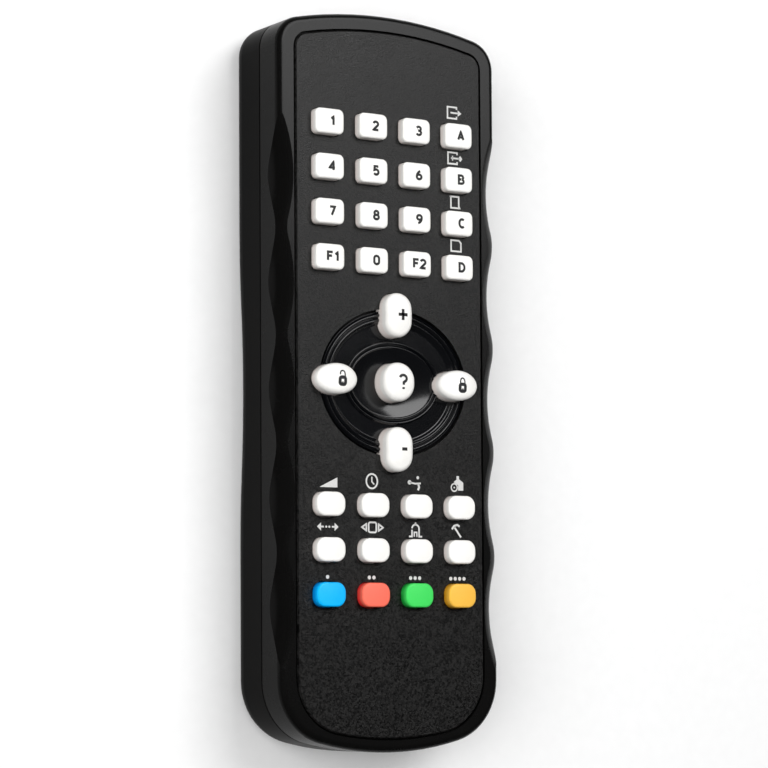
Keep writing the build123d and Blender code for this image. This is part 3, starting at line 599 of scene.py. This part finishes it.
def grid_faces(rows, columns, wrap_rows=False):
    """The quads of a grid of rows by columns. Columns always wrap round, rows only if asked."""
    r = np.arange(rows if wrap_rows else rows - 1)[:, None]
    c = np.arange(columns)[None, :]
    r2, c2 = (r + 1) % rows, (c + 1) % columns
    quads = [r * columns + c, r * columns + c2, r2 * columns + c2, r2 * columns + c]
    shape = (len(r), columns)
    return np.stack([np.broadcast_to(q, shape) for q in quads], -1).reshape(-1, 4)


def ring_solid(name, profile, centre, around=220):
    """
    Point (i, j) is centre + (a_i cos u_j, b_i sin u_j, z_i): each ring is an ellipse, and the last
    ring is joined to the first.
    """
    u = np.linspace(0, 2 * np.pi, around, endpoint=False)
    x = centre[0] + profile[:, :1] * np.cos(u)
    y = centre[1] + profile[:, 1:2] * np.sin(u)
    z = np.broadcast_to(profile[:, 2:], x.shape)
    points = np.stack([x, y, z], -1).reshape(-1, 3)
    return object_from(name, points, grid_faces(len(profile), around, True).tolist())


def prism(corners, low, high):
    """Points and faces of a closed prism over an outline that runs anticlockwise, from low to high."""
    n = len(corners)
    levels = [np.broadcast_to(level, n) for level in (low, high)]
    points = np.vstack([np.column_stack([corners, level]) for level in levels])
    ends = [list(range(n - 1, -1, -1)), list(range(n, 2 * n))]
    return points, grid_faces(2, n).tolist() + ends


def rounded_box_outline(width, depth, corner, centre=(0, 0), steps=10):
    """A rectangle with quarter circles for corners, anticlockwise."""
    quarter = np.linspace(0, np.pi / 2, steps)
    parts = []
    for i, (sx, sy) in enumerate(((1, 1), (-1, 1), (-1, -1), (1, -1))):
        a = quarter + i * np.pi / 2
        middle = np.array([sx * (width / 2 - corner), sy * (depth / 2 - corner)])
        parts.append(middle + corner * np.column_stack([np.cos(a), np.sin(a)]))
    return np.vstack(parts) + np.array(centre)


def ellipse_outline(width, depth, centre=(0, 0), steps=64):
    """An ellipse, anticlockwise."""
    a = np.linspace(0, 2 * np.pi, steps, endpoint=False)
    return np.array(centre) + np.column_stack([np.cos(a) * width / 2, np.sin(a) * depth / 2])


surround = ring_solid("pad_surround", rings, PAD_CENTRE)
print("surround:", len(surround.data.polygons), "faces before the keys are cut")

# %% [markdown]
# The four outer keys overlap the surround's edge, so each needs its own opening. A Boolean takes
# away a prism over the outline of the key's cap, a little larger all round, as a mould maker would
# leave it so that the key moves freely.

# %% Surround: openings for the outer keys
KEY_FLANGE, KEY_CLEARANCE, CUTTER_REACH = 1.8, 0.22, 1
STADIUM_FLAT = 0.05


def key_outline(node, grow):
    """The plan outline of a pad key's cap, read from its CAD box less its flange, grown by grow."""
    low, high = (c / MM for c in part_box(node))
    size = (high.x - low.x - KEY_FLANGE + 2 * grow, high.y - low.y - KEY_FLANGE + 2 * grow)
    middle = ((low.x + high.x) / 2, (low.y + high.y) / 2)
    if node in ("key_lock", "key_unlock"):
        return ellipse_outline(*size, middle)
    return rounded_box_outline(*size, min(size) / 2 - STADIUM_FLAT, middle)


for node in ("key_plus", "key_minus", "key_lock", "key_unlock"):
    outline = key_outline(node, KEY_CLEARANCE)
    cutter = object_from("cutter", *prism(outline, SEAT_Z - CUTTER_REACH, FACE_Z + CUTTER_REACH))
    cut = surround.modifiers.new("cut", "BOOLEAN")
    cut.operation, cut.solver, cut.object = "DIFFERENCE", "EXACT", cutter
    scene_now = bpy.context.evaluated_depsgraph_get()
    opened = bpy.data.meshes.new_from_object(surround.evaluated_get(scene_now))
    surround.modifiers.clear()
    surround.data = opened
    bpy.data.objects.remove(cutter)
surround.data.set_sharp_from_angle(angle=SHARP_TURN)
print("surround:", len(surround.data.polygons), "faces with its openings")

# %% [markdown]
# The surround comes from a tool that is polished to a mirror, unlike the plate round it, so it is
# far smoother. It belongs to the housing and takes the place of the CAD model's plain piece.

# %% Surround: finish
polish = Finish("surround_polish", Specular_IOR_Level=0.62)
streaks = polish.noise(5, detail=3)
polish.set("Base Color", polish.mix(streaks, (0.0016, 0.0018, 0.0024, 1), (0.0028, 0.003, 0.0038, 1)))
polish.set("Roughness", streaks * 0.05 + 0.11)
polish.bump(polish.noise(1.5, detail=2), 0.002)
surround.data.materials.append(polish.material)
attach(surround, "housing")
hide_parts("pad_bezel")
print(polish.material.name, "on", surround.name)

# %% [markdown]
# ## Signs drawn with a pen
#
# The signs are pad printed: a thin, even coat of ink. A font could be used, but the narrow
# digits and the little pictures are easy to draw as pen paths, and then one function makes them
# all. The path's points are shifted half a pen's width to each side, and every point is dropped
# onto the surface below, which for a key is the crown of its cap, a part of a sphere.

# %% Ink levels and paths
INK = 0.03
SUNK = 0.05
CEILING = cad_box[1][2] / MM


def ink_top(surface, flat):
    """The ink's upper side: INK above the surface, but never above the CAD model's highest point."""
    return np.minimum(surface(flat) + INK, CEILING)


def ink_foot(surface, flat):
    """The ink's lower side, SUNK below the surface."""
    return surface(flat) - SUNK


def arc(cx, cy, rx, ry, start, stop, steps=14):
    """Points on an ellipse's edge from start to stop degrees."""
    a = np.radians(np.linspace(start, stop, steps))
    return [(cx + rx * c, cy + ry * s) for c, s in zip(np.cos(a), np.sin(a))]


def even_steps(path, step=0.22):
    """The same path with points no more than step apart."""
    path = np.asarray(path, float)
    length = np.hypot(*np.diff(path, axis=0).T)
    counts = np.maximum(1, np.ceil(length / step).astype(int))
    pieces = [a + (b - a) * (np.arange(n) / n)[:, None] for a, b, n in zip(path[:-1], path[1:], counts)]
    return np.vstack(pieces + [path[-1:]])


# %% Pen strokes and filled patches
MITRE_LIMIT = 0.6


def pen_strip(path, pen, surface, closed=False):
    """
    A strip of ink: at each point of the path the normal is the mean of its two sides' normals,
    lengthened at a corner to keep the width, and the four edges are left and right by half the pen,
    above the surface by INK and below it by SUNK. Open ends are square.
    """
    path = even_steps(list(path) + [path[0]] if closed else path)
    if closed:
        path = path[:-1]
        before, after = np.roll(path, 1, 0), np.roll(path, -1, 0)
    else:
        ends = 2 * path[:1] - path[1:2], 2 * path[-1:] - path[-2:-1]
        before, after = np.vstack([ends[0], path[:-1]]), np.vstack([path[1:], ends[1]])
    sides = []
    for step in (path - before, after - path):
        unit = step / np.hypot(*step.T)[:, None]
        sides.append(np.column_stack([-unit[:, 1], unit[:, 0]]))
    normal = sides[0] + sides[1]
    normal /= np.maximum(np.hypot(*normal.T), 1e-6)[:, None]
    reach = pen / 2 / np.clip((normal * sides[0]).sum(1), MITRE_LIMIT, 1)[:, None]
    left, right = path + normal * reach, path - normal * reach
    corners = [(right, ink_top), (left, ink_top), (left, ink_foot), (right, ink_foot)]
    rows = [np.column_stack([flat, level(surface, flat)]) for flat, level in corners]
    points = np.stack(rows, 1).reshape(-1, 3)
    faces = grid_faces(len(path), 4, closed)[:, ::-1].tolist()
    if not closed:
        last = 4 * (len(path) - 1)
        faces += [[0, 1, 2, 3], [last + 3, last + 2, last + 1, last]]
    return points, faces


def filled(corners, surface):
    """A patch of ink over an outline, as a prism that stands INK above the surface."""
    corners = np.asarray(corners, float)
    area = np.cross(corners, np.roll(corners, -1, 0)).sum()
    corners = corners if area > 0 else corners[::-1]
    return prism(corners, ink_foot(surface, corners), ink_top(surface, corners))


def sign(name, shapes, centre, body, ink, surface, scale=(1, 1)):
    """
    One sign from its shapes, each ("line" | "loop" | "fill", points, pen width): scaled, moved to
    centre and laid on the surface. Everything becomes one mesh.
    """
    points, faces = [], []
    for kind, path, pen in shapes:
        place = np.asarray(path, float) * np.array(scale) + np.array(centre)
        if kind == "fill":
            p, f = filled(place, surface)
        else:
            p, f = pen_strip(place.tolist(), pen, surface, kind == "loop")
        faces += [[i + len(points) for i in face] for face in f]
        points += list(p)
    made = object_from(name, points, faces)
    made.data.materials.append(ink.material)
    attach(made, body)


# %% [markdown]
# Two inks are printed: near black on the pale keys, and a soft white on the dark plate. Pad printing
# never covers quite evenly, so a fine noise varies the colour and the gloss.


# %% Inks
def pad_ink(name, colour, pale):
    """A thin coat of printing ink, a little uneven."""
    finish = Finish(name, Specular_IOR_Level=0.3)
    patchy = finish.noise(0.5, detail=3)
    finish.set("Base Color", finish.mix(patchy, colour, pale))
    finish.set("Roughness", patchy * 0.15 + 0.45)
    finish.bump(patchy, 0.004)
    return finish


dark_ink = pad_ink("ink_dark", (0.012, 0.012, 0.013, 1), (0.03, 0.03, 0.032, 1))
white_ink = pad_ink("ink_white", (0.64, 0.64, 0.63, 1), (0.50, 0.50, 0.49, 1))
print("inks:", dark_ink.material.name, white_ink.material.name)

# %% [markdown]
# Each glyph stands in a box one unit high and a little over half as wide. Its width and its height
# are scaled apart when it is printed, so that one set of paths fits keys of different sizes.

# %% Glyphs
BOWL = arc(0.28, 0.28, 0.28, 0.28, 180, -180, 28)[:-1]
GLYPHS = {
    "0": [("loop", arc(0.28, 0.70, 0.28, 0.30, 180, 0) + arc(0.28, 0.30, 0.28, 0.30, 0, -180))],
    "1": [("line", [(0.06, 0.74), (0.32, 1.0), (0.32, 0.0)])],
    "2": [("line", arc(0.28, 0.72, 0.27, 0.28, 165, -28) + [(0.0, 0.0), (0.58, 0.0)])],
    "3": [("line", arc(0.27, 0.75, 0.25, 0.25, 155, -80) + arc(0.27, 0.27, 0.28, 0.27, 85, -155))],
    "4": [("line", [(0.44, 0.0), (0.44, 1.0), (0.0, 0.28), (0.60, 0.28)])],
    "5": [
        ("line", [(0.54, 1.0), (0.10, 1.0), (0.06, 0.54)] + arc(0.27, 0.31, 0.28, 0.31, 130, -150)),
    ],
    "6": [("loop", BOWL), ("line", arc(0.62, 0.30, 0.62, 0.72, 178, 108))],
    "7": [("line", [(0.0, 1.0), (0.56, 1.0), (0.20, 0.0)])],
    "8": [
        ("loop", arc(0.28, 0.76, 0.23, 0.24, 90, -270, 28)[:-1]),
        ("loop", arc(0.28, 0.26, 0.28, 0.26, 90, -270, 28)[:-1]),
    ],
    "A": [("line", [(0.0, 0.0), (0.32, 1.0), (0.64, 0.0)]), ("line", [(0.12, 0.30), (0.52, 0.30)])],
    "B": [
        ("loop", [(0.0, 0.0), (0.0, 1.0)]
            + arc(0.30, 0.76, 0.24, 0.24, 90, -90) + arc(0.30, 0.26, 0.29, 0.26, 90, -90)),
        ("line", [(0.0, 0.52), (0.30, 0.52)]),
    ],
    "C": [("line", arc(0.32, 0.5, 0.32, 0.5, 48, 312, 22))],
    "D": [("loop", [(0.0, 0.0), (0.0, 1.0)] + arc(0.24, 0.5, 0.36, 0.5, 90, -90, 20))],
    "F": [("line", [(0.0, 0.0), (0.0, 1.0), (0.52, 1.0)]), ("line", [(0.0, 0.54), (0.44, 0.54)])],
    "?": [
        ("line", arc(0.28, 0.74, 0.27, 0.26, 165, -35) + [(0.30, 0.44), (0.30, 0.26)]),
        ("line", [(0.30, 0.08), (0.30, -0.06)]),
    ],
}
NINE_WIDTH = 0.56  # a nine is a six turned half round
GLYPHS["9"] = [(kind, [(NINE_WIDTH - x, 1 - y) for x, y in path]) for kind, path in GLYPHS["6"]]
print(len(GLYPHS), "glyphs")

# %% Letters on the keys
CROWN_RADIUS, PAD_CROWN_RADIUS = 24.0, 13.0
PAD_KEY_RISE = 3.2  # a cap that rises more than this above the face is one of the pad's
LETTER_GAP = 0.24


def crown_of(node):
    """The height of a key's crown as a function of place: its top less the sag of a sphere."""
    low, high = (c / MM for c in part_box(node))
    middle = np.array([(low.x + high.x) / 2, (low.y + high.y) / 2])
    radius = PAD_CROWN_RADIUS if high.z > FACE_Z + PAD_KEY_RISE else CROWN_RADIUS

    def height(flat):
        away = ((np.asarray(flat) - middle) ** 2).sum(1)
        return high.z - radius + np.sqrt(radius**2 - away)

    return height, middle


def letter_key(node, text, high, wide, pen, aside=0.3):
    """Prints text on a key: high and wide are the size of a glyph's box, aside its shift to the right."""
    crown, middle = crown_of(node)
    widths = [max(x for _, path in GLYPHS[c] for x, _ in path) for c in text]
    total = sum(widths) + LETTER_GAP * (len(text) - 1)
    start, shapes = -total / 2, []
    for letter, width in zip(text, widths):
        for kind, path in GLYPHS[letter]:
            shapes.append((kind, [(x + start, y - 0.5) for x, y in path], pen))
        start += width + LETTER_GAP
    sign("sign_" + node, shapes, middle + (aside, 0), node, dark_ink, crown, (wide, high))


for letter in "0123456789ABCD":
    letter_key("key_" + letter.lower(), letter, high=1.85, wide=2.25, pen=0.56)
for text in ("F1", "F2"):
    letter_key("key_" + text.lower(), text, high=1.85, wide=2.35, pen=0.56, aside=0.35)
letter_key("key_query", "?", high=2.95, wide=3.3, pen=0.62, aside=0.35)

# %% [markdown]
# The pad's outer keys carry a plus, a minus and two padlocks, one shut and one with its shackle
# raised. The body of a lock is a loop drawn with a pen so wide that only a small opening is left, and
# a short stroke in the lower half of that opening makes it a keyhole.

# %% Signs of the pad keys
BAR = 0.72
SHACKLE = 0.32
LOCK_BODY = ("loop", rounded_box_outline(1.45, 1.55, 0.45, (0, -0.6), 5), 0.78)
KEYHOLE = ("line", [(0, -0.75), (0, -1.0)], 0.3)
PAD_SIGNS = {
    "key_plus": ([("line", [(-1.2, 0), (1.2, 0)], BAR), ("line", [(0, -1.25), (0, 1.25)], BAR)], 0.4),
    "key_minus": ([("line", [(-0.7, 0), (0.7, 0)], BAR)], 0.6),
    "key_lock": ([
        LOCK_BODY, KEYHOLE,
        ("line", [(-0.6, 0.2)] + arc(0, 0.75, 0.6, 0.85, 180, 0) + [(0.6, 0.2)], SHACKLE),
    ], 0.3),
    "key_unlock": ([
        LOCK_BODY, KEYHOLE,
        ("line", [(-0.62, 0.75)] + arc(0.0, 0.95, 0.62, 0.7, 180, 0) + [(0.62, 0.2)], SHACKLE),
    ], 0.55),
}
for node, (shapes, aside) in PAD_SIGNS.items():
    crown, middle = crown_of(node)
    sign("sign_" + node, shapes, middle + (aside, 0), node, dark_ink, crown)
print(len(PAD_SIGNS), "signs on the pad keys")

# %% [markdown]
# The pictures above the keys say what each one sets. They are printed on the plate, which is level,
# so they are flat. Each is a place on the plate and a few shapes round it, in millimetres.


# %% Helpers for the pictures
def plate_top(flat):
    """The face plate is level."""
    return np.full(len(flat), FACE_Z)


def dot(x, y, radius):
    """A round dot of ink."""
    return ("fill", arc(x, y, radius, radius, 0, 360, 15)[:-1], 0)


# %% Pictures printed on the face
THIN, LINE = 0.30, 0.38
BRACKET = [(0.75, 0.8), (0.75, 1.3), (-1.75, 1.3), (-1.75, -1.3), (0.75, -1.3), (0.75, -0.8)]
PICTURES = {
    "exit": ((17.5, 62.1), [
        ("line", BRACKET, LINE), ("line", [(-0.9, 0), (1.2, 0)], LINE),
        ("fill", [(1.1, 0.72), (1.1, -0.72), (2.1, 0)], 0),
    ]),
    "entry": ((17.55, 51.6), [
        ("line", BRACKET, LINE), ("line", [(-0.9, 0), (1.4, 0)], LINE),
        ("line", [(-0.5, 0.55), (-0.5, -0.55)], THIN),
        ("fill", [(1.0, 0), (1.6, -0.7), (2.2, 0), (1.6, 0.7)], 0),
    ]),
    "page": ((17.5, 41.45), [
        ("loop", [(-1.0, 1.3), (1.15, 1.3), (1.15, -0.9), (1.4, -1.3), (-1.0, -1.3)], LINE),
        ("line", [(-1.3, 1.3), (-1.0, 1.3)], LINE),
    ]),
    "box": ((17.8, 31.45), [
        ("loop", [(-1.35, 1.25), (0.8, 1.25), (1.35, 0.7), (1.35, -1.25), (-1.35, -1.25)], LINE),
    ]),
    "ramp": ((-16.6, -23.45), [("fill", [(-2.3, -1.05), (2.3, -1.05), (2.3, 1.15)], 0)]),
    "clock": ((-5.3, -22.85), [
        ("loop", arc(0, 0, 1.45, 1.6, 0, 360, 33)[:-1], LINE),
        ("line", [(0, 1.0), (0, -0.1), (0.62, -0.7)], THIN),
    ]),
    "hinge": ((6.1, -23.05), [
        dot(-1.4, 0.25, 0.5), ("line", [(-1.4, 0.25), (0.1, 0.0), (1.6, 0.1)], LINE),
        ("line", [(0.9, 0.0), (1.15, -0.8), (0.8, -1.45)], 0.5), dot(0.8, 1.35, 0.36),
    ]),
    "motor": ((17.5, -22.75), [
        ("fill", [
            (-0.9, 0.35), (-0.1, 0.95), (-0.1, 1.75), (0.55, 1.75), (0.55, 1.05),
            (1.7, 0.3), (1.7, -1.5), (0.3, -1.5), (0.3, -0.3), (-0.4, 0.1),
        ], 0),
        ("loop", arc(-0.75, -0.85, 0.82, 0.85, 0, 360, 25)[:-1], THIN), dot(-0.75, -0.85, 0.2),
    ]),
    "width": ((-16.8, -33.15), [
        ("fill", [(-2.75, 0), (-1.75, -0.9), (-1.75, 0.9)], 0),
        ("fill", [(2.75, 0), (1.75, 0.9), (1.75, -0.9)], 0),
        ("line", [(-1.8, 0), (-1.05, 0)], LINE), ("line", [(1.05, 0), (1.8, 0)], LINE),
        dot(-0.4, 0, 0.25), dot(0.4, 0, 0.25),
    ]),
    "field": ((-5.2, -33.05), [
        ("loop", rounded_box_outline(2.0, 2.2, 0.4, (0, 0), 4), LINE),
        ("loop", [(-2.75, 0), (-1.6, 0.75), (-1.6, -0.75)], LINE),
        ("loop", [(2.75, 0), (1.6, -0.75), (1.6, 0.75)], LINE),
    ]),
    "bell": ((6.2, -33.45), [
        ("line", [(-1.75, -1.4), (-0.95, -1.4), (-0.95, 0.3)]
            + arc(0, 0.3, 0.95, 0.95, 180, 0) + [(0.95, -1.4), (1.75, -1.4)], LINE),
        ("line", [(-0.35, -1.45), (-0.35, -0.45), (0.35, -0.45), (0.35, -1.45)], THIN),
        dot(0, 1.5, 0.26),
    ]),
    "hook": ((17.3, -33.35), [
        ("line", [(-1.25, 0.35), (-0.7, 1.1), (0.2, 1.35), (0.8, 1.0)], 0.46),
        ("line", [(-0.55, 0.75), (1.15, -1.45)], 0.44),
    ]),
}
for name, (centre, shapes) in PICTURES.items():
    sign("sign_" + name, shapes, centre, "housing", white_ink, plate_top)
print(len(PICTURES), "pictures on the plate")

# %% Dots over the coloured keys
DOTS_X, DOTS_Y = (-16.9, -5.5, 6.0, 17.4), -44.1
DOT_STEP, DOT_RADIUS = 1.2, 0.43
for count, x in enumerate(DOTS_X, start=1):
    row = [dot((i - (count - 1) / 2) * DOT_STEP, 0, DOT_RADIUS) for i in range(count)]
    sign(f"sign_dots_{count}", row, (x, DOTS_Y), "housing", white_ink, plate_top)
print(len(DOTS_X), "rows of dots")
